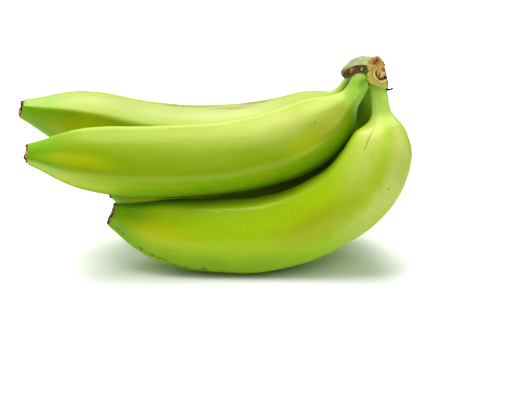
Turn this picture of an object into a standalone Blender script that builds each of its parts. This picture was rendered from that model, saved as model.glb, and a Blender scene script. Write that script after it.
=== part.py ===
"""A hand of green plantains: two rows of fingers that grew from one crown, as cut from the bunch.

The hand lies on its lower two fingers, with the crown at +X and the blossom ends at -X. Everything
grew together, so it is one closed body. The origin is on the surface it lies on, under the middle
of its box. Dimensions are in millimetres and become metres where a mesh or a curve is made.
"""

import math
from typing import NamedTuple

import bmesh
import bpy
from mathutils import Matrix, Vector

MM = 0.001

# Driving dimensions
HALF_THICKNESS = 23.6   # of a finger at its fullest
RIDGE_SHARPNESS = 0.45  # 0 is a round section, 1 has flat faces between its ridges

SIDES = 20              # round a finger
BODY_RING_SPACING = 7.0
END_RING_SPACING = 4.0  # on the stalk, the shoulder and the blossom end
LUMP_SEGMENTS = 24      # round a lump of the crown
LUMP_RINGS = 14
SLIVER = 0.1            # shortest edge kept where the pieces grow together
SHARPEST_SMOOTH = 50    # degrees; a crease above this stays sharp

# Half thickness, as a share of the fullest, at distances past the end of the stalk
SHOULDER = ((-8, 0.26), (0, 0.31), (9, 0.53), (18, 0.71), (28, 0.84), (42, 0.93), (66, 1.0))
# The same, at distances back from the blossom end, which closes with the dry remains of the flower
BLOSSOM_END = ((0, 0.27), (3, 0.29), (12, 0.435), (20, 0.59), (28, 0.73), (38, 0.84), (54, 0.93), (90, 0.99))
DRY_END = 3.0           # length of the dry remains
BLUNT_REACH = 26.0      # how far a wide blossom end is felt along the finger
NECK_REACH = 8.0        # how far a slim stalk is felt to either side of its end
CURVE_STEPS = 24        # pieces of a centre line between two of its points
BLOCK_WIDTH = 400       # of the surface that the hand lies on
BLOCK_DEPTH = 20


class Finger(NamedTuple):
    """Centre line from the crown to the blossom end, and the angles of the section's ridges.

    A ridge's angle is seen along the finger from its crown: 0 is the outer, convex side, 90 is the
    front, towards -Y, and 180 is the hollow of the bend.
    """
    centre_line: tuple
    ridges: tuple
    stalk: float            # length of the stalk, from inside the crown
    shoulder: float = 1.0   # stretches the shoulder along the finger
    fullness: float = 1.0   # scales the half thickness
    blunt: float = 1.0      # widens the blossom end
    neck: float = 1.0       # slims the stalk


FINGERS = {
    "front_upper": Finger(
        ((100, -11, 127), (89.7, -15, 111.1), (69.9, -18, 93.3), (32, -21.5, 78.5), (-25.3, -26, 73.1),
         (-81.2, -29, 76), (-116.5, -30, 79.3)),
        ridges=(9, 81, 171, 243, 306), stalk=21, shoulder=0.72, fullness=1.01),
    "front_lower": Finger(
        ((106, -9, 124), (108.8, -16, 107), (110, -22, 89.5), (100.5, -28, 62), (73, -29, 38),
         (39, -29, 25), (5, -29, 23.3), (-29, -29, 26.8), (-47, -29, 31), (-64, -29, 37.6)),
        ridges=(-27, 45, 162, 225, 288), stalk=26, shoulder=0.58, fullness=1.04, blunt=1.22, neck=0.88),
    "back_upper": Finger(
        ((96, -1, 124), (87.6, 8, 107.7), (69.1, 20, 89.4), (45.1, 24.5, 77.1), (7.8, 26, 70.2),
         (-39.4, 25, 72.1), (-83.4, 23, 82.8), (-108.4, 22, 88.5), (-128.2, 21, 93.7)),
        ridges=(54, 126, 198, 270, 342), stalk=28, blunt=1.04),
    "back_lower": Finger(
        ((105, 1, 121), (103.5, 6, 105), (104.5, 14, 83), (94, 20, 57), (71, 20, 37), (42, 20, 25),
         (11, 20, 22.4), (-19, 20, 23), (-45, 20, 27.5), (-68.5, 20, 37.5)),
        ridges=(-9, 63, 135, 207, 279), stalk=23, shoulder=0.9, blunt=1.15),
}

# The crown: a capped lump along the top, with a dry cut along its front, and the thick cut end
CAP_CENTRE = (97.5, -7.5, 124)
CAP_HALF_SIZE = (14.5, 16, 12)
CAP_SLOPE = 26          # degrees, up towards +X
# The knife cuts that bound the cap: a point of each and the direction in which its waste lies
CAP_CUTS = (
    ((91.4, -14.3, 126), (0.404, -0.25, -1)),
    ((91, -14.5, 128), (-0.24, -0.95, -0.2)),
    ((84.8, -11, 124.9), (-0.82, 0.1, -0.58)),
)
HEART_CENTRE = (104, -6, 124.5)     # where the stalks meet inside the crown
HEART_HALF_SIZE = (9, 11.5, 10)
CUT_END_CENTRE = (106.4, -17, 128.1)
CUT_END_OUTWARD = (0.35, -0.88, 0.3)
CUT_END_DEPTH = 10
CUT_END_TAPER = 0.8     # its size at that depth, as a share
# Its outline, as distances to the right of and above the centre
CUT_END_OUTLINE = (
    (-6.5, 7.5), (-5.0, 9.6), (-2.3, 10.8), (1.2, 10.9), (3.8, 9.4), (5.4, 6.7), (6.1, 2.4), (6.6, -1.6),
    (7.0, -6.1), (7.0, -9.3), (5.7, -11.0), (3.5, -9.2), (-0.8, -8.0), (-5.6, -6.1), (-6.8, -3.7),
    (-7.1, -0.3), (-5.1, 3.4),
)


def smooth_value(points, place):
    """The height at a place on a smooth line through (place, height) points, in rising order."""
    places = [point[0] for point in points]
    heights = [point[1] for point in points]
    if place <= places[0]:
        return heights[0]
    if place >= places[-1]:
        return heights[-1]
    after = next(i for i, known in enumerate(places) if known > place)

    def slope(i):
        low, high = max(i - 1, 0), min(i + 1, len(points) - 1)
        return (heights[high] - heights[low]) / (places[high] - places[low])

    step = places[after] - places[after - 1]
    share = (place - places[after - 1]) / step
    rest = 1 - share
    return (heights[after - 1] * rest * rest * (1 + 2 * share)
            + heights[after] * share * share * (1 + 2 * rest)
            + step * share * rest * (slope(after - 1) * rest - slope(after) * share))


def half_thickness(finger, length, place):
    """Half the finger's thickness at a distance along it from the crown."""
    past_stalk = place - finger.stalk
    if past_stalk > 0:
        past_stalk /= finger.shoulder
    from_end = length - place
    widening = 1.0
    if DRY_END <= from_end < BLUNT_REACH:
        widening += (finger.blunt - 1) * (1 - from_end / BLUNT_REACH)
    slimming = (1 - finger.neck) * max(0, min(1, (NECK_REACH - past_stalk) / (2 * NECK_REACH)))
    share = smooth_value(SHOULDER, past_stalk) * smooth_value(BLOSSOM_END, from_end)
    return HALF_THICKNESS * finger.fullness * share * widening * (1 - slimming)


def ridged_radius(ridges, angle):
    """The section's radius at an angle, as a share: straight faces between ridges, then rounded."""
    ridge_before = max((ridge for ridge in ridges if ridge <= angle), default=ridges[-1] - 360)
    ridge_after = min((ridge for ridge in ridges if ridge > angle), default=ridges[0] + 360)
    half_face = math.radians(ridge_after - ridge_before) / 2
    from_middle = math.radians(angle - ridge_before) - half_face
    flat = math.cos(half_face) / math.cos(from_middle)
    average = 0.5 + 0.5 * math.cos(half_face)
    return 1 + RIDGE_SHARPNESS * (flat / average - 1)


def centre_line_curve(name, finger):
    """The finger's centre line, drawn in the curve's own XY plane and stood up, so it stays untwisted."""
    data = bpy.data.curves.new(name + "_centre_line", "CURVE")
    data.dimensions = "3D"
    data.twist_mode = "Z_UP"
    data.resolution_u = CURVE_STEPS
    spline = data.splines.new("BEZIER")
    spline.bezier_points.add(len(finger.centre_line) - 1)
    for knot, (x, y, z) in zip(spline.bezier_points, finger.centre_line):
        knot.co = Vector((x, z, -y)) * MM
        knot.handle_left_type = knot.handle_right_type = "AUTO"
    curve = bpy.data.objects.new(data.name, data)
    curve.rotation_euler.x = math.radians(90)
    bpy.context.collection.objects.link(curve)
    bpy.context.view_layer.update()
    return curve


def ring_places(finger, length):
    """Distances of the rings from the crown, closer together where the thickness changes fast."""
    shoulder_end = finger.stalk + SHOULDER[-2][0] * finger.shoulder
    taper_start = length - BLOSSOM_END[-2][0]
    places = [0.0]
    while places[-1] < length - DRY_END - END_RING_SPACING:
        on_body = shoulder_end < places[-1] < taper_start
        places.append(places[-1] + (BODY_RING_SPACING if on_body else END_RING_SPACING))
    return places[:-1] + [length - DRY_END, length]


def join_rings(shape, rings):
    """Joins rings of corners into a closed skin, with a flat face at either end."""
    sides = len(rings[0])
    for ring, following in zip(rings, rings[1:]):
        for side in range(sides):
            beside = (side + 1) % sides
            shape.faces.new((ring[side], ring[beside], following[beside], following[side]))
    shape.faces.new(reversed(rings[0]))
    shape.faces.new(rings[-1])
    bmesh.ops.recalc_face_normals(shape, faces=shape.faces)


def straight_finger(finger, length):
    """The finger laid out straight along +X, as rings joined into a closed skin."""
    shape = bmesh.new()
    ridges = sorted(ridge % 360 for ridge in finger.ridges)
    rings = []
    for place in ring_places(finger, length):
        radius = half_thickness(finger, length, place)
        ring = []
        for side in range(SIDES):
            angle = side * 360 / SIDES
            reach = radius * ridged_radius(ridges, angle)
            turn = math.radians(angle)
            corner = Vector((place, reach * math.cos(turn), reach * math.sin(turn)))
            ring.append(shape.verts.new(corner * MM))
        rings.append(ring)
    join_rings(shape, rings)
    return shape


def finished(shape, name, collection):
    """An object made from a bmesh."""
    mesh = bpy.data.meshes.new(name)
    shape.to_mesh(mesh)
    shape.free()
    body = bpy.data.objects.new(name, mesh)
    collection.objects.link(body)
    return body


def bent_finger(name, finger, collection):
    """The straight finger bent along its centre line."""
    curve = centre_line_curve(name, finger)
    length = curve.data.splines[0].calc_length() / MM
    body = finished(straight_finger(finger, length), name, collection)
    body.rotation_euler.x = math.radians(90)
    bend = body.modifiers.new("bend", "CURVE")
    bend.object = curve
    bend.deform_axis = "POS_X"
    return body


def lump(centre, half_size, slope=0.0):
    """An egg-shaped lump of the crown, as a bmesh, with its long side raised towards +X by a slope."""
    shape = bmesh.new()
    bmesh.ops.create_uvsphere(shape, u_segments=LUMP_SEGMENTS, v_segments=LUMP_RINGS, radius=1.0)
    place = (Matrix.Translation(Vector(centre) * MM)
             @ Matrix.Rotation(-math.radians(slope), 4, "Y")
             @ Matrix.Diagonal((*(Vector(half_size) * MM), 1)))
    bmesh.ops.transform(shape, matrix=place, verts=shape.verts)
    return shape


def cut_by_knife(shape, point, outward):
    """Takes off what is outward of a plane and closes the cut with a flat face."""
    everything = shape.verts[:] + shape.edges[:] + shape.faces[:]
    cut = bmesh.ops.bisect_plane(
        shape, geom=everything, plane_co=Vector(point) * MM,
        plane_no=Vector(outward).normalized(), clear_outer=True)
    rim = [item for item in cut["geom_cut"] if isinstance(item, bmesh.types.BMEdge)]
    bmesh.ops.holes_fill(shape, edges=rim)


def cut_end_block():
    """The thick end where the knife took the hand off its bunch, narrowing back into the crown."""
    shape = bmesh.new()
    outward = Vector(CUT_END_OUTWARD).normalized()
    rightward = Vector((0, 0, 1)).cross(outward).normalized()
    upward = outward.cross(rightward)
    rings = []
    for depth, scale in ((0, 1.0), (CUT_END_DEPTH, CUT_END_TAPER)):
        middle = Vector(CUT_END_CENTRE) - depth * outward
        rings.append([shape.verts.new((middle + scale * (right * rightward + up * upward)) * MM)
                      for right, up in CUT_END_OUTLINE])
    join_rings(shape, rings)
    return shape


def surface_block(collection):
    """A block whose top is the surface that the hand lies on, to press the lower fingers flat."""
    shape = bmesh.new()
    bmesh.ops.create_cube(shape, size=1.0)
    size = Matrix.Diagonal((BLOCK_WIDTH * MM, BLOCK_WIDTH * MM, BLOCK_DEPTH * MM, 1))
    place = Matrix.Translation((0, 0, -BLOCK_DEPTH / 2 * MM))
    bmesh.ops.transform(shape, matrix=place @ size, verts=shape.verts)
    return finished(shape, "surface_block", collection)


def peel_material():
    """Smooth waxy green peel."""
    material = bpy.data.materials.new("peel")
    material.use_nodes = True
    shader = material.node_tree.nodes["Principled BSDF"]
    shader.inputs["Base Color"].default_value = (0.31, 0.52, 0.02, 1)
    shader.inputs["Roughness"].default_value = 0.42
    shader.inputs["Metallic"].default_value = 0.0
    return material


def grown_together(hand, grown):
    """The crown with every other piece joined on and the lower fingers' backs pressed flat."""
    union = hand.modifiers.new("grown_together", "BOOLEAN")
    union.operation = "UNION"
    union.operand_type = "COLLECTION"
    union.collection = grown
    union.solver = "EXACT"
    flat = hand.modifiers.new("resting_flats", "BOOLEAN")
    flat.operation = "DIFFERENCE"
    flat.object = surface_block(bpy.context.scene.collection)
    flat.solver = "EXACT"
    evaluated = hand.evaluated_get(bpy.context.evaluated_depsgraph_get())
    mesh = bpy.data.meshes.new_from_object(evaluated)
    shape = bmesh.new()
    shape.from_mesh(mesh)
    bmesh.ops.remove_doubles(shape, verts=shape.verts, dist=SLIVER * MM)
    shape.to_mesh(mesh)
    shape.free()
    return mesh


def build():
    for existing in list(bpy.data.objects):
        bpy.data.objects.remove(existing)
    grown = bpy.data.collections.new("grown_parts")
    bpy.context.scene.collection.children.link(grown)
    for name, finger in FINGERS.items():
        bent_finger(name, finger, grown)
    finished(cut_end_block(), "cut_end", grown)
    finished(lump(HEART_CENTRE, HEART_HALF_SIZE), "heart", grown)
    cap = lump(CAP_CENTRE, CAP_HALF_SIZE, CAP_SLOPE)
    for point, outward in CAP_CUTS:
        cut_by_knife(cap, point, outward)
    hand = finished(cap, "plantain_hand", bpy.context.scene.collection)

    mesh = grown_together(hand, grown)
    mesh.name = "plantain_hand"
    mesh.shade_smooth()
    mesh.set_sharp_from_angle(angle=math.radians(SHARPEST_SMOOTH))
    mesh.materials.clear()
    mesh.materials.append(peel_material())
    hand.modifiers.clear()
    hand.data = mesh
    for helper in [item for item in bpy.data.objects if item is not hand]:
        bpy.data.objects.remove(helper)
    bpy.data.collections.remove(grown)


build()
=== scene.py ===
"""A hand of green plantains lying on its lower fingers, crown to the right and blossom ends to the left."""

import math
import random

import bpy
import numpy as np
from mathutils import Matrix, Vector, noise


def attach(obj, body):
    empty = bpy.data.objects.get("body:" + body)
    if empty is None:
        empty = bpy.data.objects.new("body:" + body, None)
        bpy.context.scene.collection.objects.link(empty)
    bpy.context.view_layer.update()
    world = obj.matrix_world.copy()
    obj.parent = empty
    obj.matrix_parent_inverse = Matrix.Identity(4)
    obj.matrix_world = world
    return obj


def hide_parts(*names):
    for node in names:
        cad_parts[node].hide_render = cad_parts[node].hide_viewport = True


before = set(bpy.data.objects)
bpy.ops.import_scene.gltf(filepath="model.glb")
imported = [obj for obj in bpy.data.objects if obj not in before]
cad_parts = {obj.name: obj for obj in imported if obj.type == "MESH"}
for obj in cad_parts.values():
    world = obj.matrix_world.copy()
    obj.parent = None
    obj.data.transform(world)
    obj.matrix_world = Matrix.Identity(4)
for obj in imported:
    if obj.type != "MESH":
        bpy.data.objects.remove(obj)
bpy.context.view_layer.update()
bpy.ops.object.select_all(action="DESELECT")


# The view
# The hand lies on a plain white surface under three soft square lights, in a white room that is brighter
# behind it and to its left. The camera looks down on it by 21 degrees from the front, from about 0.8 m.
MM = 0.001
VIEW_TARGET = (30, -5, 38)      # mm
VIEW_DISTANCE = 806
VIEW_DOWN = 21                  # degrees
FLOOR_SIZE = 8                  # m, as the lights' places and sizes
FLOOR_WHITE = (0.92, 0.92, 0.92, 1)
LIT_POINT = (0, 0, 0.06)
BRIGHT_SIDE = (-0.6, 0.8, 0)
ROOM_BRIGHTNESS = {"From Min": -0.5, "From Max": 0.9, "To Min": 0.06, "To Max": 0.95}

down = math.radians(VIEW_DOWN)
camera = bpy.data.objects.new("camera", bpy.data.cameras.new("camera"))
bpy.context.scene.collection.objects.link(camera)
camera.data.lens = 85
camera.data.sensor_width = 36
camera.location = (Vector(VIEW_TARGET) - VIEW_DISTANCE * Vector((0, math.cos(down), -math.sin(down)))) * MM
camera.rotation_euler = (math.pi / 2 - down, 0, 0)
bpy.context.scene.camera = camera

bpy.ops.mesh.primitive_plane_add(size=FLOOR_SIZE)
floor = bpy.context.object
floor.name = "floor"
floor.data.materials.append(bpy.data.materials.new("floor_white"))
floor.active_material.use_nodes = True
floor_shader = floor.active_material.node_tree.nodes["Principled BSDF"]
floor_shader.inputs["Base Color"].default_value = FLOOR_WHITE
floor_shader.inputs["Roughness"].default_value = 0.9
floor_shader.inputs["Specular IOR Level"].default_value = 0.0


def soft_light(name, place, size, watts):
    """A square soft light at a place, turned to the hand."""
    data = bpy.data.lights.new(name, "AREA")
    data.size = size
    data.energy = watts
    light = bpy.data.objects.new(name, data)
    light.location = place
    light.rotation_euler = (Vector(LIT_POINT) - Vector(place)).to_track_quat("-Z", "Y").to_euler()
    bpy.context.scene.collection.objects.link(light)


soft_light("top_light", (-0.1, 0.14, 1.15), size=1.0, watts=15.5)
soft_light("back_light", (-0.15, 0.65, 1.0), size=0.9, watts=5)
soft_light("front_right_light", (0.5, -0.75, 0.9), size=0.9, watts=4.5)
world = bpy.data.worlds.new("white_room")
world.use_nodes = True
room = world.node_tree
direction = room.nodes.new("ShaderNodeTexCoord")
towards_bright_side = room.nodes.new("ShaderNodeVectorMath")
towards_bright_side.operation = "DOT_PRODUCT"
towards_bright_side.inputs[1].default_value = BRIGHT_SIDE
brightness = room.nodes.new("ShaderNodeMapRange")
brightness.interpolation_type = "SMOOTHSTEP"
for limit, value in ROOM_BRIGHTNESS.items():
    brightness.inputs[limit].default_value = value
room.links.new(direction.outputs["Generated"], towards_bright_side.inputs[0])
room.links.new(towards_bright_side.outputs["Value"], brightness.inputs["Value"])
room.links.new(brightness.outputs[0], room.nodes["Background"].inputs["Strength"])
room.nodes["Background"].inputs["Color"].default_value = (1, 1, 1, 1)
bpy.context.scene.world = world
bpy.context.scene.view_settings.view_transform = "Standard"
bpy.context.scene.view_settings.look = "Medium High Contrast"


# Fingers
# Each plantain is a curved fruit with a firm waxy peel and five blunt ridges. It swells from a thin
# stalk, which grows out of the crown, and narrows to the dry remains of its flower.
HALF_THICKNESS = 23.6
RIDGE_SHARPNESS = 0.45
RIDGE_CREST = 0.010     # how far a ridge's narrow crest stands out, as a share of the radius
CREST_WIDTH = 6.0       # degrees
SIDES = 40
LIMIT_SHRINK = 0.996    # subdividing draws a ring of 40 corners in to this share
BODY_RING_SPACING = 7.0
END_RING_SPACING = 4.0
LAST_RING_SPACING = 0.8
# How thick a finger is, as a share: by mm past its stalk, and by mm back from its blossom end
SHOULDER = ((-8, 0.26), (0, 0.31), (9, 0.53), (18, 0.71), (28, 0.84), (42, 0.93), (66, 1.0))
BLOSSOM_END = ((0, 0.27), (3, 0.29), (12, 0.435), (20, 0.59), (28, 0.73), (38, 0.84), (54, 0.93), (90, 0.99))
DRY_END = 1.6           # how much of a finger's length is its dry end
BLUNT_REACH = 26.0      # how far back from the blossom end a blunt finger is thicker
NECK_REACH = 8.0        # how far to each side of the stalk's end a thin neck reaches


def smooth_value(points, place):
    """The height at a place on a smooth line through (place, height) points, in rising order."""
    places = [point[0] for point in points]
    heights = [point[1] for point in points]
    if place <= places[0]:
        return heights[0]
    if place >= places[-1]:
        return heights[-1]
    after = next(i for i, known in enumerate(places) if known > place)

    def slope(i):
        low, high = max(i - 1, 0), min(i + 1, len(points) - 1)
        return (heights[high] - heights[low]) / (places[high] - places[low])

    step = places[after] - places[after - 1]
    share = (place - places[after - 1]) / step
    rest = 1 - share
    return (heights[after - 1] * rest * rest * (1 + 2 * share)
            + heights[after] * share * share * (1 + 2 * rest)
            + step * share * rest * (slope(after - 1) * rest - slope(after) * share))


def ridged_radius(ridges, angle):
    """The section's radius at an angle, as a share: rounded faces between ridges with narrow crests."""
    ridge_before = max((ridge for ridge in ridges if ridge <= angle), default=ridges[-1] - 360)
    ridge_after = min((ridge for ridge in ridges if ridge > angle), default=ridges[0] + 360)
    half_face = math.radians(ridge_after - ridge_before) / 2
    from_middle = math.radians(angle - ridge_before) - half_face
    flat = math.cos(half_face) / math.cos(from_middle)
    average = 0.5 + 0.5 * math.cos(half_face)
    from_ridge = min(angle - ridge_before, ridge_after - angle)
    crest = RIDGE_CREST * math.exp(-(from_ridge / CREST_WIDTH) ** 2)
    return 1 + RIDGE_SHARPNESS * (flat / average - 1) + crest


def centre_line(name, points):
    """A smooth curve through the points, drawn in its own XY plane and stood up, so it stays untwisted."""
    data = bpy.data.curves.new(name, "CURVE")
    data.dimensions = "3D"
    data.twist_mode = "Z_UP"
    data.resolution_u = 24
    spline = data.splines.new("BEZIER")
    spline.bezier_points.add(len(points) - 1)
    for knot, (x, y, z) in zip(spline.bezier_points, points):
        knot.co = Vector((x, z, -y)) * MM
        knot.handle_left_type = knot.handle_right_type = "AUTO"
    curve = bpy.data.objects.new(name, data)
    curve.rotation_euler.x = math.radians(90)
    bpy.context.scene.collection.objects.link(curve)
    bpy.context.view_layer.update()
    return curve


def rod(name, sides, rings, section=None):
    """A rod along +X, drawn out ring by ring from a disc: each ring is a place and a half thickness."""
    bpy.ops.mesh.primitive_circle_add(vertices=sides, radius=MM, fill_type="NGON",
                                      rotation=(0, math.pi / 2, 0))
    piece = bpy.context.object
    piece.name = piece.data.name = name
    bpy.ops.object.transform_apply(rotation=True)
    for corner in piece.data.vertices:
        angle = math.degrees(math.atan2(corner.co.z, corner.co.y)) % 360
        corner.co *= rings[0][1] * (section(angle) if section else 1)
        corner.co.x = rings[0][0] * MM
    bpy.ops.object.mode_set(mode="EDIT")
    bpy.ops.mesh.select_all(action="SELECT")
    for (place, half), (next_place, next_half) in zip(rings, rings[1:]):
        bpy.ops.mesh.extrude_region_move(TRANSFORM_OT_translate={"value": ((next_place - place) * MM, 0, 0)})
        grow = next_half / half
        bpy.ops.transform.resize(value=(1, grow, grow), center_override=(next_place * MM, 0, 0))
    bpy.ops.mesh.select_all(action="SELECT")
    bpy.ops.mesh.normals_make_consistent(inside=False)
    bpy.ops.object.mode_set(mode="OBJECT")
    return piece


def add_and_apply(piece, kind, **settings):
    """Adds a modifier to a piece and applies it."""
    modifier = piece.modifiers.new(kind.lower(), kind)
    for setting, value in settings.items():
        setattr(modifier, setting, value)
    bpy.context.view_layer.objects.active = piece
    bpy.ops.object.modifier_apply(modifier=modifier.name)


def subdivide(piece):
    """Smooths a piece with two rounds of subdivision."""
    add_and_apply(piece, "SUBSURF", levels=2, render_levels=2)


def keep_straight_place(piece):
    """Notes where each point lies on the straight piece, for the peel's pattern to follow."""
    places = np.empty(len(piece.data.vertices) * 3)
    piece.data.vertices.foreach_get("co", places)
    noted = piece.data.attributes.new("straight_place", "FLOAT_VECTOR", "POINT")
    noted.data.foreach_set("vector", places)


def bend_along(piece, curve):
    """Bends a straight piece along a centre line and leaves its object at the origin."""
    piece.rotation_euler.x = math.radians(90)
    add_and_apply(piece, "CURVE", object=curve, deform_axis="POS_X")
    bpy.ops.object.select_all(action="DESELECT")
    piece.select_set(True)
    bpy.ops.object.transform_apply(rotation=True)
    piece.data.shade_smooth()


def ring_places(stalk, shoulder, length):
    """Distances of the rings from the crown, closer together where the thickness changes fast."""
    shoulder_end = stalk + SHOULDER[-2][0] * shoulder
    taper_start = length - BLOSSOM_END[-2][0]
    places = [0.0]
    while places[-1] < length - DRY_END - END_RING_SPACING:
        on_body = shoulder_end < places[-1] < taper_start
        places.append(places[-1] + (BODY_RING_SPACING if on_body else END_RING_SPACING))
    return places[:-1] + [length - DRY_END - LAST_RING_SPACING, length - DRY_END]


def finger(name, points, ridges, stalk, shoulder=1.0, fullness=1.0, blunt=1.0, neck=1.0):
    """One plantain with its stalk, bent along its centre line. Gives the piece, its curve and length."""
    curve = centre_line(name + "_centre_line", points)
    length = curve.data.splines[0].calc_length() / MM
    ridges = sorted(ridge % 360 for ridge in ridges)
    rings = []
    for place in ring_places(stalk, shoulder, length):
        past_stalk = place - stalk
        if past_stalk > 0:
            past_stalk /= shoulder
        from_end = length - place
        widening = 1 + (blunt - 1) * max(0, 1 - from_end / BLUNT_REACH)
        share = smooth_value(SHOULDER, past_stalk) * smooth_value(BLOSSOM_END, from_end) * widening
        share *= 1 - (1 - neck) * max(0, min(1, (NECK_REACH - past_stalk) / (2 * NECK_REACH)))
        rings.append((place, HALF_THICKNESS * fullness * share / LIMIT_SHRINK))
    piece = rod(name, SIDES, rings, lambda angle: ridged_radius(ridges, angle))
    subdivide(piece)
    keep_straight_place(piece)
    bend_along(piece, curve)
    for corner in piece.data.vertices:
        corner.co.z = max(corner.co.z, 0)
    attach(piece, "root")
    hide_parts("plantain_hand")
    return piece, curve, length


def swell(piece, at, size, height):
    """Raises the surface round a place by a height in mm. The place and the size are in mm along from the
    crown and in degrees round the section."""
    straight_places = piece.data.attributes["straight_place"].data
    normals = [corner.normal.copy() for corner in piece.data.vertices]
    for corner, normal, straight in zip(piece.data.vertices, normals, straight_places):
        past = straight.vector.x / MM - at[0]
        turn = (math.degrees(math.atan2(straight.vector.z, straight.vector.y)) - at[1] + 180) % 360 - 180
        corner.co += normal * (height * MM * math.exp(-(past / size[0]) ** 2 - (turn / size[1]) ** 2))


class Tone:
    """A socket in a material, on which sums are written as Python expressions."""

    def __init__(self, tree, socket):
        self.tree = tree
        self.socket = socket

    def node(self, kind, settings, inputs, output=0):
        """Adds a node with its settings, then the values or links of its sockets."""
        made = self.tree.nodes.new(kind)
        for setting, value in settings.items():
            setattr(made, setting, value)
        for key, value in inputs.items():
            if isinstance(value, Tone):
                self.tree.links.new(value.socket, made.inputs[key])
            else:
                made.inputs[key].default_value = value
        return Tone(self.tree, made.outputs[output])

    def math(self, operation, *terms):
        """A sum on numbers."""
        return self.node("ShaderNodeMath", {"operation": operation}, dict(enumerate(terms)))

    def __add__(self, other):
        if self.socket.type == "VECTOR":
            return self.node("ShaderNodeVectorMath", {"operation": "ADD"}, {0: self, 1: other})
        return self.math("ADD", self, other)

    __radd__ = __add__

    def __sub__(self, other):
        return self.math("SUBTRACT", self, other)

    def __rsub__(self, other):
        return self.math("SUBTRACT", other, self)

    def __mul__(self, other):
        return self.math("MULTIPLY", self, other)

    __rmul__ = __mul__

    def __truediv__(self, other):
        return self.math("DIVIDE", self, other)

    def step(self, start, end):
        """Rises smoothly from 0 to 1 between two values, or falls where the start is the higher."""
        return self.node("ShaderNodeMapRange", {"interpolation_type": "SMOOTHSTEP"},
                         {"Value": self, "From Min": start, "From Max": end})

    def colour_mix(self, first, second):
        """The first colour where this is 0 and the second where it is 1."""
        return self.node("ShaderNodeMix", {"data_type": "RGBA"}, {0: self, 6: first, 7: second}, output=2)

    def spread(self, scale):
        """A place, stretched or squeezed along each axis."""
        return self.node("ShaderNodeVectorMath", {"operation": "MULTIPLY"}, {0: self, 1: scale})

    def wrap(self, low, high):
        """Brought between two values by whole turns."""
        return self.math("WRAP", self, high, low)

    def oval(self, at, half_size, turn):
        """Distance from a place on the unrolled peel, as a share of an oval's size."""
        inside = self.node("ShaderNodeMapping", {"vector_type": "TEXTURE"},
                           {"Vector": self, "Location": (at[0], at[1] * DEGREE, 0),
                            "Rotation": (0, 0, math.radians(turn)), "Scale": (*half_size, 1)})
        return self.node("ShaderNodeVectorMath", {"operation": "LENGTH"}, {0: inside}, output="Value")

    def colour_noise(self, scale):
        """Cloudy noise in three directions, each between about -0.5 and 0.5."""
        cloud = self.node("ShaderNodeTexNoise", {}, {"Vector": self, "Scale": scale, "Detail": 2.0},
                          output="Color")
        return self.node("ShaderNodeVectorMath", {"operation": "SUBTRACT"}, {0: cloud, 1: (0.5, 0.5, 0.5)})

    def noise(self, scale, detail=2.0, roughness=0.5):
        """Cloudy noise between 0 and 1, with about this many clouds to a metre."""
        return self.node("ShaderNodeTexNoise", {},
                         {"Vector": self, "Scale": scale, "Detail": detail, "Roughness": roughness})


def new_material(name):
    """A new material, its Principled shader, and a Tone to add the first nodes with."""
    material = bpy.data.materials.new(name)
    material.use_nodes = True
    shader = material.node_tree.nodes["Principled BSDF"]
    return material, shader, Tone(material.node_tree, None)


DEGREE = 0.41           # mm round the fullest part of a finger, to a degree of its section
SEAM = -90              # degrees; where the unrolled peel starts, at the finger's back
TIP_GREENING = (38, 8)  # mm from the blossom end where the deep green starts, and where it is full
STALK_GREENING = (6, -4)        # the same for the stalk's green, in mm past the stalk's end
MID_GREEN = (0.245, 0.365, 0.003)       # these two are made lighter or darker for each finger, as painted light and shade for how much light it gets
UNDER_GREEN = (0.175, 0.36, 0.003)
DEEP_GREEN = (0.155, 0.36, 0.005, 1)
STALK_GREEN = (0.40, 0.66, 0.11, 1)
YELLOW = (0.47, 0.51, 0.003, 1)
OLIVE = (0.33, 0.385, 0.005, 1)
TAN = (0.34, 0.30, 0.04, 1)
# painted shade where the finger above or the crown shades the peel
PAINTED_SHADE_GREEN = (0.06, 0.17, 0.004, 1)
# painted shade along the front lower finger's lower side
PAINTED_LOW_SHADE_GREEN = (0.20, 0.35, 0.003, 1)
# painted highlight: broad pale light on the upper and right faces of the fingers
PAINTED_HIGHLIGHT_GREEN = (0.53, 0.56, 0.17, 1)
SCUFF_BROWN = (0.19, 0.12, 0.05, 1)
# painted shade in the crease beside the swelling at the top of the front upper stalk
PAINTED_CREASE_SHADE_GREEN = (0.10, 0.32, 0.005, 1)
# painted highlight: pale light along the back upper finger's top
PAINTED_HIGHLIGHT_OLIVE = (0.265, 0.31, 0.06, 1)
RED_BROWN = (0.30, 0.13, 0.05, 1)
DARK_SPOT = (0.06, 0.035, 0.01, 1)
PALE_SCRATCH = (0.50, 0.58, 0.20, 1)


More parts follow.
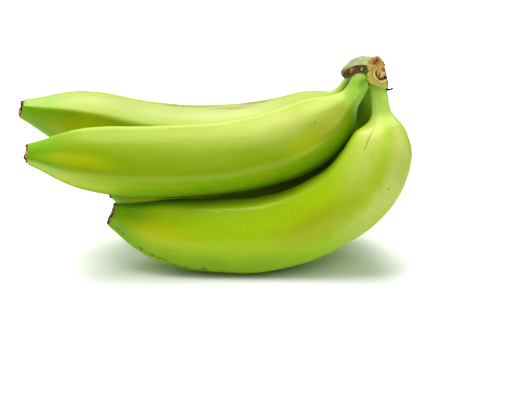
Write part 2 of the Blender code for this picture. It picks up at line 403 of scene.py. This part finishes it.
def peel_material(name, length, stalk, painted_light_level, under, patches, marks):
    """One finger's peel: how much lighter or darker it is painted, as painted light and shade for the light
    that finger gets, and how far its underside takes the darker green.

    Patches and marks are ovals on the unrolled peel. Each has its place, in mm from the crown and degrees
    round the section, its half length and half width in mm, a turn in degrees, a colour and a strength.
    Patches have wide soft edges, and marks are small and ragged. Some patches are painted highlights and
    painted shade rather than the peel's own colours."""
    material, shader, start = new_material(name + "_peel")
    place = start.node("ShaderNodeAttribute", {"attribute_name": "straight_place"}, {}, output="Vector")
    along = place.node("ShaderNodeSeparateXYZ", {}, {0: place}, output="X") / MM
    right = place.node("ShaderNodeSeparateXYZ", {}, {0: place}, output="Y")
    up = place.node("ShaderNodeSeparateXYZ", {}, {0: place}, output="Z")
    around = (up.math("ARCTAN2", up, right) * (180 / math.pi)).wrap(SEAM, SEAM + 360)
    unrolled = along.node("ShaderNodeCombineXYZ", {}, {0: along, 1: around * DEGREE})
    # Both greens are scaled by the finger's painted light level: painted light and shade for how much light
    # reaches that finger.
    middle, underside = ([part * painted_light_level for part in tone] + [1] for tone in (MID_GREEN, UNDER_GREEN))
    colour = (around.step(95, 40) * under).colour_mix(middle, underside)
    clouds = place.spread((0.5, 1, 1)).noise(45, 3.0)
    colour = (clouds.step(0.45, 0.75) * 0.25).colour_mix(colour, OLIVE)
    at_tip = along.step(length - TIP_GREENING[0], length - TIP_GREENING[1])
    colour = (at_tip * 0.85).colour_mix(colour, DEEP_GREEN)
    at_stalk = along.step(stalk + STALK_GREENING[0], stalk + STALK_GREENING[1])
    colour = (at_stalk * 0.8).colour_mix(colour, STALK_GREEN)
    wavy_edge = place.colour_noise(60).spread((9, 9, 0))
    for at, half_size, turn, patch_colour, strength in patches:
        patch = (unrolled + wavy_edge).oval(at, half_size, turn).step(1.45, 0.25)
        colour = (patch * strength).colour_mix(colour, patch_colour)
    fine = place.noise(700, 2.0, 0.6)
    mottling = place.spread((0.6, 1, 1)).noise(170, 3.0, 0.6)
    colour = (mottling.step(0.45, 0.70) * 0.22).colour_mix(colour, OLIVE)
    colour = (fine.step(0.52, 0.66) * 0.10).colour_mix(colour, DEEP_GREEN)
    freckles = place.noise(1200, 1.0).step(0.66, 0.74) * place.noise(55).step(0.45, 0.60)
    colour = (freckles * 0.7).colour_mix(colour, RED_BROWN)
    ragged_edge = place.colour_noise(900).spread((1.0, 0.6, 0))
    for at, half_size, turn, mark_colour, strength in marks:
        mark = (unrolled + ragged_edge).oval(at, half_size, turn).step(1.25, 0.55)
        mark = mark * fine.step(0.30, 0.55) * strength
        colour = mark.colour_mix(colour, mark_colour)
    material.node_tree.links.new(colour.socket, shader.inputs["Base Color"])
    waves = place.spread((0.35, 1, 1)).noise(110)
    bump = start.node("ShaderNodeBump", {}, {"Height": waves, "Strength": 0.3, "Distance": 0.8 * MM})
    material.node_tree.links.new(bump.socket, shader.inputs["Normal"])
    edge = start.node("ShaderNodeLayerWeight", {}, {"Blend": 0.5}, output="Facing")
    duller_edge = edge.step(0.5, 0.85) * 0.65 + 0.32
    material.node_tree.links.new(duller_edge.socket, shader.inputs["Roughness"])
    shader.inputs["Specular IOR Level"].default_value = 0.45
    shader.inputs["Specular Tint"].default_value = (1.0, 1.0, 0.6, 1)
    return material


FRONT_UPPER_STALK = 21
front_upper, front_upper_line, front_upper_length = finger(
    "front_upper_finger",
    ((100, -11, 127), (89.9, -13, 110.5), (70.2, -13, 91.7), (32, -14.5, 76.1), (-25.5, -23, 72.1),
     (-81.4, -28, 75.7), (-116.7, -29, 79)),
    ridges=(9, 81, 171, 243, 306), stalk=FRONT_UPPER_STALK, shoulder=0.72, fullness=1.01, blunt=1.07)
swell(front_upper, at=(6.5, 138), size=(4, 34), height=2.0)
front_upper.data.materials.append(peel_material(
    "front_upper", front_upper_length, FRONT_UPPER_STALK, painted_light_level=0.95, under=1.0,
    # painted highlight along the top
    patches=(((95, 146), (80, 10), 0, PAINTED_HIGHLIGHT_GREEN, 0.3),
             ((200, 50), (32, 12), 0, YELLOW, 0.5),
             # painted highlight over the right part
             ((62, 132), (34, 13), 0, PAINTED_HIGHLIGHT_GREEN, 0.4),
             ((207, 103), (24, 6), 0, YELLOW, 0.55),
             ((36, 97), (18, 9), 0, TAN, 0.35),
             ((57, 92), (14, 7), 0, YELLOW, 0.4),
             # painted shade in the crease beside the stalk's swelling
             ((5.5, 86), (4, 9), 0, PAINTED_CREASE_SHADE_GREEN, 0.75)),
    marks=(((49, 117), (0.8, 0.5), 0, RED_BROWN, 0.8),
           ((46, 116), (0.7, 0.6), 0, RED_BROWN, 0.8),
           ((44.5, 116), (1.0, 0.8), 0, DARK_SPOT, 0.8),
           ((49, 111), (0.6, 0.6), 0, RED_BROWN, 0.7),
           ((37, 115), (0.8, 0.8), 0, RED_BROWN, 0.6))))

FRONT_LOWER_STALK = 26
front_lower, front_lower_line, front_lower_length = finger(
    "front_lower_finger",
    ((107.2, -9, 124), (109.5, -16, 107), (110.8, -22, 89.5), (101.2, -28, 62), (73, -29, 38),
     (39, -29, 25), (5, -29, 23.3), (-29, -29, 26.8), (-47, -29, 31.4), (-65, -29, 38.2)),
    ridges=(-27, 45, 162, 225, 288), stalk=FRONT_LOWER_STALK, shoulder=0.58, fullness=1.04, blunt=1.16,
    neck=0.88)
front_lower.data.materials.append(peel_material(
    "front_lower", front_lower_length, FRONT_LOWER_STALK, painted_light_level=1.42, under=0.8,
    patches=(((213, 100), (23, 10), 0, YELLOW, 0.75),
             ((105, 98), (36, 11), 0, OLIVE, 0.8),
             ((37, 66), (9, 6), 0, TAN, 0.3),
             # painted shade along the lower side
             ((175, 45), (60, 12), 0, PAINTED_LOW_SHADE_GREEN, 0.8),
             # painted highlight along the right side
             ((60, 58), (42, 9), 0, PAINTED_HIGHLIGHT_GREEN, 0.75),
             # painted shade along the top near the tip, under the finger above
             ((205, 178), (38, 9), 0, PAINTED_SHADE_GREEN, 0.6),
             # painted highlight on the upper face beside the stalk
             ((45, 122), (34, 14), 0, PAINTED_HIGHLIGHT_GREEN, 0.6)),
    marks=(((41, 126), (8.5, 0.6), 8, SCUFF_BROWN, 0.85),
           ((64, 64), (0.6, 0.6), 0, DARK_SPOT, 0.8),
           ((68, 72), (0.5, 0.5), 0, RED_BROWN, 0.6),
           ((85, 64), (0.6, 0.6), 0, RED_BROWN, 0.7),
           ((72, 115), (0.5, 0.5), 0, RED_BROWN, 0.6),
           ((239, 61), (1.5, 1.1), 0, DARK_SPOT, 0.9),
           ((235, 60), (1.2, 0.9), 0, DARK_SPOT, 0.8),
           ((222, 53), (1.6, 1.0), 0, DARK_SPOT, 0.9),
           ((212, 52), (8, 0.5), 0, DARK_SPOT, 0.8),
           ((199, 48), (9, 0.6), 0, DARK_SPOT, 0.8),
           ((188, 47), (5, 0.4), 0, DARK_SPOT, 0.7),
           ((168, 46), (8, 0.5), 0, RED_BROWN, 0.7),
           ((183, 49), (1.6, 0.8), 0, DARK_SPOT, 0.9),
           ((176, 150), (3.5, 0.35), 0, PALE_SCRATCH, 0.9))))

BACK_UPPER_STALK = 28
back_upper, back_upper_line, back_upper_length = finger(
    "back_upper_finger",
    ((96, 0, 123.7), (87.8, 10, 107.1), (69.4, 25, 86.7), (45.2, 31, 74), (7.7, 31, 68.4),
     (-39.6, 27, 71.4), (-83.5, 24, 82.5), (-108.4, 22, 88.5), (-128.2, 21, 93.7)),
    ridges=(54, 126, 198, 270, 342), stalk=BACK_UPPER_STALK, blunt=1.04)
back_upper.data.materials.append(peel_material(
    "back_upper", back_upper_length, BACK_UPPER_STALK, painted_light_level=0.9, under=0.3,
    # painted highlight along the top
    patches=(((130, 165), (130, 13), 0, PAINTED_HIGHLIGHT_OLIVE, 0.85),
             ((112, 177), (24, 3), 0, SCUFF_BROWN, 0.35),
             ((200, 110), (22, 7), 0, OLIVE, 0.6),
             ((212, 88), (24, 11), 0, YELLOW, 0.65),
             # painted shade on the stalk, behind the front upper stalk and under the crown
             ((10, 110), (15, 18), 0, PAINTED_SHADE_GREEN, 0.75)),
    marks=(((145, 188), (26, 1.8), 0, SCUFF_BROWN, 0.85),
           ((112, 174), (9, 1.2), 8, SCUFF_BROWN, 0.7),
           ((108, 178), (16, 2.4), 0, SCUFF_BROWN, 0.35),
           ((92, 189), (15, 2.6), 0, SCUFF_BROWN, 0.95))))

BACK_LOWER_STALK = 23
back_lower, back_lower_line, back_lower_length = finger(
    "back_lower_finger",
    ((105, 1, 121), (103.5, 6, 105), (104, 14, 84), (92, 21, 59), (69, 21, 39), (42, 21, 26.5),
     (11, 20, 22.4), (-19, 20, 23), (-45, 20, 27.5), (-68.5, 20, 37.5)),
    ridges=(-9, 63, 135, 207, 279), stalk=BACK_LOWER_STALK, shoulder=0.9, fullness=1.03, blunt=1.12)
back_lower.data.materials.append(peel_material(
    "back_lower", back_lower_length, BACK_LOWER_STALK, painted_light_level=1.2, under=0.5,
    patches=(((150, 90), (40, 12), 0, OLIVE, 0.5),
             ((205, 130), (34, 20), 0, YELLOW, 0.7)),
    marks=()))


# Dry blossom ends
# Where the flower fell off, each finger ends in a ragged collar of dried brown tissue, about 13 mm
# across and 3 mm long, round a shallow hollow. It is part of the fruit and meets the peel edge to edge.
DRY_SIDES = 30
# The collar from its inner end over its rim into the hollow: places in mm, and shares of its half thickness
DRY_PROFILE = ((-2.5, 0.80), (-1.2, 0.95), (-0.4, 0.99), (0.3, 0.98), (1.0, 0.92), (1.7, 0.84), (1.5, 0.74),
               (0.7, 0.62), (0.2, 0.42), (0.4, 0.22), (1.2, 0.10))
RIM_RADIUS = 0.70       # points further out than this, and past place 0, make up the ragged rim
RIM_HEIGHT = 1.5
CRUMPLE_SIZE = 1.6      # mm, as the next
CRUMPLE_HEIGHT = 0.9
DARK_BROWN = (0.030, 0.014, 0.008, 1)
DRY_BROWN = (0.10, 0.045, 0.028, 1)
PINK_TAN = (0.55, 0.33, 0.22, 1)


def dry_tissue_material(name):
    """Dried flower tissue: dark brown, with bare pinkish tan where it has flaked."""
    material, shader, start = new_material(name)
    place = start.node("ShaderNodeTexCoord", {}, {}, output="Object")
    flakes = place.noise(420, 3.0, 0.6)
    depths = place.noise(900, 2.0, 0.6)
    colour = depths.step(0.38, 0.62).colour_mix(DARK_BROWN, DRY_BROWN)
    colour = (flakes.step(0.52, 0.60) * 0.9).colour_mix(colour, PINK_TAN)
    material.node_tree.links.new(colour.socket, shader.inputs["Base Color"])
    bump = start.node("ShaderNodeBump", {}, {"Height": depths, "Strength": 0.5, "Distance": 0.5 * MM})
    material.node_tree.links.new(bump.socket, shader.inputs["Normal"])
    shader.inputs["Roughness"].default_value = 0.85
    shader.inputs["Specular IOR Level"].default_value = 0.2
    return material


dry_tissue = dry_tissue_material("dry_tissue")
ragged = random.Random(4)
pattern = rod("dry_end_pattern", DRY_SIDES, DRY_PROFILE)
teeth = [ragged.uniform(-0.9, 0.7) for _ in range(DRY_SIDES)]
curls = [ragged.uniform(-0.10, 0.12) for _ in range(DRY_SIDES)]
for corner in pattern.data.vertices:
    place = corner.co.x / MM
    radius = math.hypot(corner.co.y, corner.co.z) / MM
    if place > 0 and radius > RIM_RADIUS:
        side = round(math.degrees(math.atan2(corner.co.z, corner.co.y)) % 360 * DRY_SIDES / 360) % DRY_SIDES
        reach = place / RIM_HEIGHT
        corner.co.x += teeth[side] * reach * MM
        corner.co.y *= 1 + curls[side] * reach
        corner.co.z *= 1 + curls[side] * reach


def dry_end(name, curve, length, half, turn, reach=1.0):
    """A copy of the ragged collar, turned about the finger, set on its end and bent along with it. Its half
    thickness is in mm, and its reach is how long it is, as a share of the pattern."""
    bpy.ops.object.select_all(action="DESELECT")
    piece = pattern.copy()
    piece.data = pattern.data.copy()
    piece.name = piece.data.name = name
    bpy.context.scene.collection.objects.link(piece)
    piece.select_set(True)
    bpy.context.view_layer.objects.active = piece
    piece.rotation_euler.x = math.radians(turn)
    piece.scale = (reach, half, half)
    piece.location.x = (length - DRY_END) * MM
    bpy.ops.object.transform_apply()
    subdivide(piece)
    bend_along(piece, curve)
    crumple = bpy.data.textures.new(name, "CLOUDS")
    crumple.noise_scale = CRUMPLE_SIZE * MM
    add_and_apply(piece, "DISPLACE", texture=crumple, strength=CRUMPLE_HEIGHT * MM, texture_coords="LOCAL")
    piece.data.materials.append(dry_tissue)
    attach(piece, "root")
    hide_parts("plantain_hand")


PEEL_END = HALF_THICKNESS * smooth_value(BLOSSOM_END, DRY_END)
dry_end("front_upper_dry_end", front_upper_line, front_upper_length, PEEL_END * 0.96, turn=0)
dry_end("front_lower_dry_end", front_lower_line, front_lower_length, PEEL_END * 1.18, turn=130, reach=0.6)
dry_end("back_upper_dry_end", back_upper_line, back_upper_length, PEEL_END * 0.95, turn=250)
dry_end("back_lower_dry_end", back_lower_line, back_lower_length, PEEL_END * 1.12, turn=60)
bpy.data.objects.remove(pattern)
for line in (front_upper_line, front_lower_line, back_upper_line, back_lower_line):
    bpy.data.objects.remove(line)


# Crown
# The fingers' stalks grow together into a lump about 35 mm long. Its top is grey-green skin, a dry corky
# cut runs along its front, and at its right the knife that took it off the bunch left a fibrous end.
CAP_CENTRE = (97.5, -7.5, 124)
CAP_HALF_SIZE = (14.5, 16, 12)
CAP_SLOPE = 26          # degrees
# Planes that cut the cap off: a point on each, and the way out of the cap
CAP_FRONT = ((91, -14.5, 128), (-0.24, -0.95, -0.2))
CAP_UNDERSIDE = ((91.4, -14.3, 126), (0.404, -0.25, -1))
CAP_CORNER = ((84.8, -11, 124.9), (-0.82, 0.1, -0.58))
HEART_CENTRE = (104, -6, 124.5)
HEART_HALF_SIZE = (9, 11.5, 10)
# The cut end's middle and directions, and its outline in mm to the right of the middle and above it
CUT_CENTRE = Vector((106.4, -17, 128.1))
CUT_OUTWARD = Vector((0.35, -0.88, 0.3)).normalized()
CUT_RIGHT = Vector((0, 0, 1)).cross(CUT_OUTWARD).normalized()
CUT_UP = CUT_OUTWARD.cross(CUT_RIGHT)
CUT_OUTLINE = ((-5.7, 7.3), (-4.6, 9.4), (-2.3, 10.8), (1.2, 10.9), (3.8, 9.4), (5.4, 6.7), (6.1, 2.4),
               (6.6, -1.6), (7.0, -6.1), (7.0, -9.3), (5.7, -11.0), (3.5, -9.2), (-0.8, -8.0), (-5.6, -6.1),
               (-6.8, -3.7), (-7.1, -0.3), (-4.8, 3.2))
CUT_DEPTH = 10
CUT_TAPER = 0.8
CROWN_GRAIN = 0.32      # the finest detail of the crown's surface


def lump(name, centre, half_size, slope=0.0, cuts=()):
    """An egg-shaped lump of the crown, raised towards +X by a slope and cut off by planes."""
    bpy.ops.mesh.primitive_uv_sphere_add(segments=32, ring_count=20, radius=1)
    piece = bpy.context.object
    piece.name = name
    piece.scale = Vector(half_size) * MM
    piece.rotation_euler.y = -math.radians(slope)
    piece.location = Vector(centre) * MM
    bpy.ops.object.transform_apply()
    bpy.ops.object.mode_set(mode="EDIT")
    for point, outward in cuts:
        bpy.ops.mesh.select_all(action="SELECT")
        bpy.ops.mesh.bisect(plane_co=Vector(point) * MM, plane_no=outward, use_fill=True, clear_outer=True)
    bpy.ops.object.mode_set(mode="OBJECT")
    return piece


def on_cut_end(right, up, out=0):
    """A place in mm, from its distances to the right of the cut end's middle, above it and out of it."""
    return CUT_CENTRE + right * CUT_RIGHT + up * CUT_UP + out * CUT_OUTWARD


cap = lump("cap", CAP_CENTRE, CAP_HALF_SIZE, CAP_SLOPE, (CAP_UNDERSIDE, CAP_FRONT, CAP_CORNER))
heart = lump("heart", HEART_CENTRE, HEART_HALF_SIZE)

bpy.ops.mesh.primitive_circle_add(vertices=len(CUT_OUTLINE), radius=1, fill_type="NGON")
cut_end = bpy.context.object
for corner, (right, up) in zip(cut_end.data.vertices, CUT_OUTLINE):
    corner.co = on_cut_end(right, up) * MM
bpy.ops.object.mode_set(mode="EDIT")
bpy.ops.mesh.select_all(action="SELECT")
bpy.ops.mesh.extrude_region_move(TRANSFORM_OT_translate={"value": -CUT_DEPTH * CUT_OUTWARD * MM})
bpy.ops.transform.resize(value=[CUT_TAPER] * 3, center_override=on_cut_end(0, 0, -CUT_DEPTH) * MM)
bpy.ops.mesh.select_all(action="SELECT")
bpy.ops.mesh.normals_make_consistent(inside=False)
bpy.ops.object.mode_set(mode="OBJECT")

bpy.ops.object.select_all(action="DESELECT")
for part in (heart, cut_end, cap):
    part.select_set(True)
bpy.context.view_layer.objects.active = cap
bpy.ops.object.join()
crown = bpy.context.object
crown.name = crown.data.name = "crown"
add_and_apply(crown, "REMESH", mode="VOXEL", voxel_size=CROWN_GRAIN * MM)
add_and_apply(crown, "SMOOTH", factor=0.5, iterations=5)


def rise(value, start, end):
    """Rises smoothly from 0 to 1 between two values, or falls where the start is the higher."""
    share = np.clip((value - start) / (end - start), 0, 1)
    return share * share * (3 - 2 * share)


def round_spot(right, up, middle, size):
    """1 at a spot's middle on the cut end, fading to 0 well outside of its size."""
    return np.exp(-((right - middle[0]) / size[0]) ** 2 - ((up - middle[1]) / size[1]) ** 2)


def crumbs(places, size, seed):
    """Seeded noise between about -1 and 1 at each place, in crumbs of a size."""
    offset = Vector((seed, seed, seed))
    return np.array([noise.noise(Vector(place) / size + offset) for place in places])


# Its relief: soft dents in the skin, crumbly cork along the front, and on the cut end fibres that ring a
# brown crescent hollow with a crumbly lobe inside of it, below a rolled orange lobe. Places on the cut end
# are in mm to the right and up, and the upper lobe and the notch have their half sizes too.
INNER_LOBE = (3.3, -0.2)
HOLLOW_RADIUS = 3.7
UPPER_LOBE = ((-0.9, 6.9), (4.8, 3.4))
RIM_NOTCH = ((-5.6, 2.8), (1.4, 1.1))
FIBRE_SPACING = 1.15
FIBRE_HEIGHT = 0.24
LOBE_HEIGHT = 1.0
CREAM_HEIGHT = 0.5
HOLLOW_DEPTH = 1.4
NOTCH_DEPTH = 0.4
LIP_HEIGHT = 0.35
count = len(crown.data.vertices)
places = np.empty(count * 3)
crown.data.vertices.foreach_get("co", places)
places = places.reshape(-1, 3) / MM
normals = np.empty(count * 3)
crown.data.vertex_normals.foreach_get("vector", normals)
normals = normals.reshape(-1, 3)
front_point, front_outward = (np.array(part, float) for part in CAP_FRONT)
front_outward /= np.linalg.norm(front_outward)
under_point, under_outward = (np.array(part, float) for part in CAP_UNDERSIDE)
under_outward /= np.linalg.norm(under_outward)
from_front = (places - front_point) @ front_outward
from_under = (places - under_point) @ under_outward
x_place, above_floor = places[:, 0], places[:, 2]
on_cut = places - np.array(CUT_CENTRE)
right, up, out = on_cut @ np.array(CUT_RIGHT), on_cut @ np.array(CUT_UP), on_cut @ np.array(CUT_OUTWARD)
facing_cut = normals @ np.array(CUT_OUTWARD)
fine = crumbs(places, 0.9, 3)
coarse = crumbs(places, 2.2, 7)
broad = crumbs(places, 6.0, 11)
upper = rise(up, 1, 4)
cut = rise(out, -1.6, -0.7) * rise(facing_cut, 0.35, 0.65)
cut *= rise(right, -8.2 + 1.9 * upper, -7.0 + 1.6 * upper)
cork = rise(from_front, -1.1, -0.5) * rise(normals @ front_outward, 0.5, 0.8)
left_rim = rise(from_under + 0.5 * coarse, -6.2, -5.2) * rise(x_place, 88, 85)
left_rim *= rise(from_under, 0.6, 0.1)
underside = rise(from_under, -1.0, -0.4) * rise(normals @ under_outward, 0.5, 0.8)
underside = underside * rise(from_under, 0.9, 0.5) * rise(x_place, 99, 96)
cork = np.maximum(cork, np.maximum(left_rim, underside)) * (1 - cut) * rise(above_floor, 119, 121)
bark = rise(right + 0.10 * up + 0.7 * coarse, 5.0, 6.2) * rise(out, -7, -3)
bark = np.maximum(bark, rise(up + 0.6 * coarse, 9.4, 10.4) * rise(out, -5, -2) * rise(right, -1.0, 1.5))
lobe = round_spot(right, up, *UPPER_LOBE)
from_lobe = np.hypot(right - INNER_LOBE[0], up - INNER_LOBE[1])
around = np.degrees(np.arctan2(up - INNER_LOBE[1], right - INNER_LOBE[0])) % 360
crescent = rise(around, 125, 165) * rise(around, 345, 320)
hollow_width = 0.75 + 0.55 * rise(around, 200, 270)
hollow = crescent * np.exp(-((from_lobe - HOLLOW_RADIUS - 0.5 * coarse) / hollow_width) ** 2)
cream = crescent * np.exp(-((from_lobe - HOLLOW_RADIUS - 1.5 - 0.35 * coarse) / 0.5) ** 2)
fibres = np.sin((from_lobe + 0.45 * coarse) * 2 * math.pi / FIBRE_SPACING)
fibres *= rise(from_lobe, HOLLOW_RADIUS + 0.6, HOLLOW_RADIUS + 1.6) * (1 - lobe)
relief = cut * (FIBRE_HEIGHT * fibres + LOBE_HEIGHT * lobe + CREAM_HEIGHT * cream - HOLLOW_DEPTH * hollow
                + 0.35 * coarse - NOTCH_DEPTH * round_spot(right, up, *RIM_NOTCH)
                + 0.6 * rise(from_lobe, 4.2, 2.5) * fine)
relief += bark * (0.55 * fine + 0.5 * coarse)
relief += cork * (1 - bark) * (0.32 * fine + 0.40 * coarse)
lip = 4 * cork * (1 - cork) * (1 - bark) * rise(from_under, -1.4, -2.2) * rise(x_place, 86.5, 89)
relief += LIP_HEIGHT * lip + (1 - cut) * (1 - cork) * (1 - bark) * (0.16 * coarse + 0.35 * broad)
places = (places + normals * relief[:, None]) * MM
crown.data.vertices.foreach_set("co", places.ravel())
inside = rise(from_lobe + 0.6 * coarse, 4.4, 3.4)
under = rise(from_under, -0.6, 0.6)
zones = {"cut": cut, "cork": cork, "bark": bark, "fibres": fibres, "lip": lip, "lobe": lobe, "hollow": hollow,
         "cream": cream, "inside": inside, "under": under, "height": up}
for name, values in zones.items():
    attribute = crown.data.attributes.new(name, "FLOAT", "POINT")
    attribute.data.foreach_set("value", values)
crown.data.update()
crown.data.shade_smooth()


# Its colours
SKIN_GREEN, SKIN_GREY, SKIN_BROWN = (0.25, 0.33, 0.11, 1), (0.18, 0.205, 0.095, 1), (0.19, 0.16, 0.09, 1)
SKIN_FLECK = (0.46, 0.49, 0.28, 1)
STALK_ROOT_GREEN = (0.26, 0.42, 0.02, 1)
CORK_DARK, CORK_BROWN, CORK_TAN = (0.045, 0.022, 0.006, 1), (0.17, 0.095, 0.030, 1), (0.42, 0.30, 0.13, 1)
FIBRE_OLIVE, FIBRE_YELLOW = (0.30, 0.27, 0.030, 1), (0.68, 0.62, 0.19, 1)
FIBRE_ORANGE, UPPER_ORANGE = (0.52, 0.34, 0.06, 1), (0.50, 0.33, 0.05, 1)
CURL_BROWN, CURL_TAN, CURL_DARK = (0.20, 0.075, 0.02, 1), (0.52, 0.31, 0.12, 1), (0.13, 0.05, 0.015, 1)
CRUMB_BROWN, CRUMB_TAN, CRUMB_DARK = (0.30, 0.13, 0.02, 1), (0.72, 0.52, 0.22, 1), (0.16, 0.07, 0.01, 1)
CREAM = (0.78, 0.66, 0.30, 1)
HOLLOW_BROWN = (0.15, 0.065, 0.008, 1)
BARK_BROWN, BARK_PINK, BARK_TAN = (0.10, 0.045, 0.025, 1), (0.42, 0.24, 0.14, 1), (0.62, 0.42, 0.24, 1)
LIP_CREAM = (0.66, 0.64, 0.36, 1)


def crown_material():
    """Grey-green skin, brown cork, and yellow-green fibres that turn orange and brown to the right."""
    material, shader, start = new_material("crown_skin_and_cut")
    place = start.node("ShaderNodeTexCoord", {}, {}, output="Object")

    def zone(name):
        """How far each point is in a zone that the relief noted."""
        return start.node("ShaderNodeAttribute", {"attribute_name": name}, {}, output="Fac")

    fine = place.noise(1100, 3.0, 0.6)
    coarse = place.noise(380, 3.0, 0.55)
    broad = place.noise(140)
    skin = coarse.step(0.35, 0.70).colour_mix(SKIN_GREEN, SKIN_GREY)
    skin = (broad.step(0.48, 0.66) * 0.7).colour_mix(skin, SKIN_BROWN)
    skin = (fine.step(0.60, 0.72) * 0.5).colour_mix(skin, SKIN_FLECK)
    skin = zone("under").colour_mix(skin, STALK_ROOT_GREEN)
    cork = fine.step(0.35, 0.62).colour_mix(CORK_DARK, CORK_BROWN)
    cork = (coarse.step(0.56, 0.66) * 0.8).colour_mix(cork, CORK_TAN)
    fibre = (zone("fibres") * 0.5 + 0.5).colour_mix(FIBRE_OLIVE, FIBRE_YELLOW)
    fibre = (coarse.step(0.50, 0.66) * 0.7).colour_mix(fibre, FIBRE_ORANGE)
    fibre = (zone("height").step(1.0, 6.0) * 0.75).colour_mix(fibre, UPPER_ORANGE)
    curls = coarse.step(0.38, 0.56).colour_mix(CURL_BROWN, CURL_TAN)
    curls = (fine.step(0.52, 0.62) * 0.7).colour_mix(curls, CURL_DARK)
    fibre = zone("lobe").step(0.25, 0.7).colour_mix(fibre, curls)
    fibre = zone("cream").step(0.3, 0.9).colour_mix(fibre, CREAM)
    crumb = coarse.step(0.36, 0.56).colour_mix(CRUMB_BROWN, CRUMB_TAN)
    crumb = (fine.step(0.53, 0.64) * 0.7).colour_mix(crumb, CRUMB_DARK)
    fibre = zone("inside").colour_mix(fibre, crumb)
    fibre = (zone("hollow").step(0.3, 0.8) * fine.step(0.70, 0.45)).colour_mix(fibre, HOLLOW_BROWN)
    bark = fine.step(0.38, 0.60).colour_mix(BARK_BROWN, BARK_PINK)
    bark = (coarse.step(0.54, 0.66) * 0.9).colour_mix(bark, BARK_TAN)
    colour = zone("cork").colour_mix(skin, cork)
    colour = zone("lip").step(0.3, 0.9).colour_mix(colour, LIP_CREAM)
    colour = zone("cut").step(0.3, 0.7).colour_mix(colour, fibre)
    colour = (zone("bark") + (coarse - 0.5) * 0.8).step(0.35, 0.6).colour_mix(colour, bark)
    material.node_tree.links.new(colour.socket, shader.inputs["Base Color"])
    bump = start.node("ShaderNodeBump", {}, {"Height": fine, "Strength": 0.35, "Distance": 0.3 * MM})
    material.node_tree.links.new(bump.socket, shader.inputs["Normal"])
    shader.inputs["Roughness"].default_value = 0.65
    shader.inputs["Specular IOR Level"].default_value = 0.25
    return material


crown.data.materials.append(crown_material())
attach(crown, "root")
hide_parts("plantain_hand")


# Torn fibres
# Short strips of dry brown fibre that the knife left standing round the cut end's right edge, and one
# long curled strand at its lower corner. They are up to 5 mm long and grow out of the cut.
STRIP_SIDES, STRAND_SIDES = 6, 8
STRIP_PROFILE = ((-1.2, 0.6), (0, 0.65), (0.6, 0.55))       # place and half thickness, up to its tip
STRIP_LENGTH = 1.0
STRIP_TIP = 0.22
STRIP_WIDENING = (1, 1.2, 0.6)
STRIP_INSET = (0.7, 0.9)        # to the left of its place, and into the cut
# Places to the right and up on the cut end, with each strip's turn in degrees
STRIPS = ((3.4, 9.7, 60), (4.6, 8.3, 30), (5.6, 6.2, 20), (6.0, 3.9, -15), (6.3, 1.4, 25), (6.5, -0.9, 5),
          (6.8, -3.3, -30), (7.0, -5.6, 15), (7.0, -7.9, -10), (6.2, -10.2, -40), (2.2, 10.0, 50))
# The strand's line, to the right, up and out of the cut end, and its half thickness by share of its length
STRAND = ((5.2, -10.2, -0.6), (6.6, -10.9, 0.2), (8.2, -10.9, 0.4), (9.6, -10.3, 0.1), (10.4, -10.4, 0.0))
STRAND_PROFILE = ((0, 0.8), (0.25, 0.8), (0.5, 0.55), (0.75, 0.65), (0.93, 0.6), (1, 0.3))

strand_line = centre_line("strand_line", [on_cut_end(*point) for point in STRAND])
strand_length = strand_line.data.splines[0].calc_length() / MM
strand = rod("torn_strand", STRAND_SIDES, [(share * strand_length, half) for share, half in STRAND_PROFILE])
subdivide(strand)
bend_along(strand, strand_line)
bpy.data.objects.remove(strand_line)
torn = random.Random(9)
strips = []
for right, up, turn in STRIPS:
    strip = rod("strip", STRIP_SIDES, [*STRIP_PROFILE, (STRIP_LENGTH + torn.random() * 0.5, STRIP_TIP)])
    strip.scale = STRIP_WIDENING
    bpy.ops.object.transform_apply()
    outward = (math.cos(math.radians(turn)) * CUT_RIGHT + math.sin(math.radians(turn)) * CUT_UP
               + torn.uniform(0.0, 0.7) * CUT_OUTWARD)
    strip.rotation_euler = outward.to_track_quat("X", "Z").to_euler()
    strip.location = on_cut_end(right - STRIP_INSET[0], up, -STRIP_INSET[1]) * MM
    bpy.ops.object.transform_apply()
    subdivide(strip)
    strip.data.shade_smooth()
    strips.append(strip)
bpy.ops.object.select_all(action="DESELECT")
for strip in strips + [strand]:
    strip.select_set(True)
bpy.context.view_layer.objects.active = strand
bpy.ops.object.join()
strand.name = strand.data.name = "torn_fibres"
strand.data.materials.clear()
strand.data.materials.append(dry_tissue)
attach(strand, "root")
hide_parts("plantain_hand")
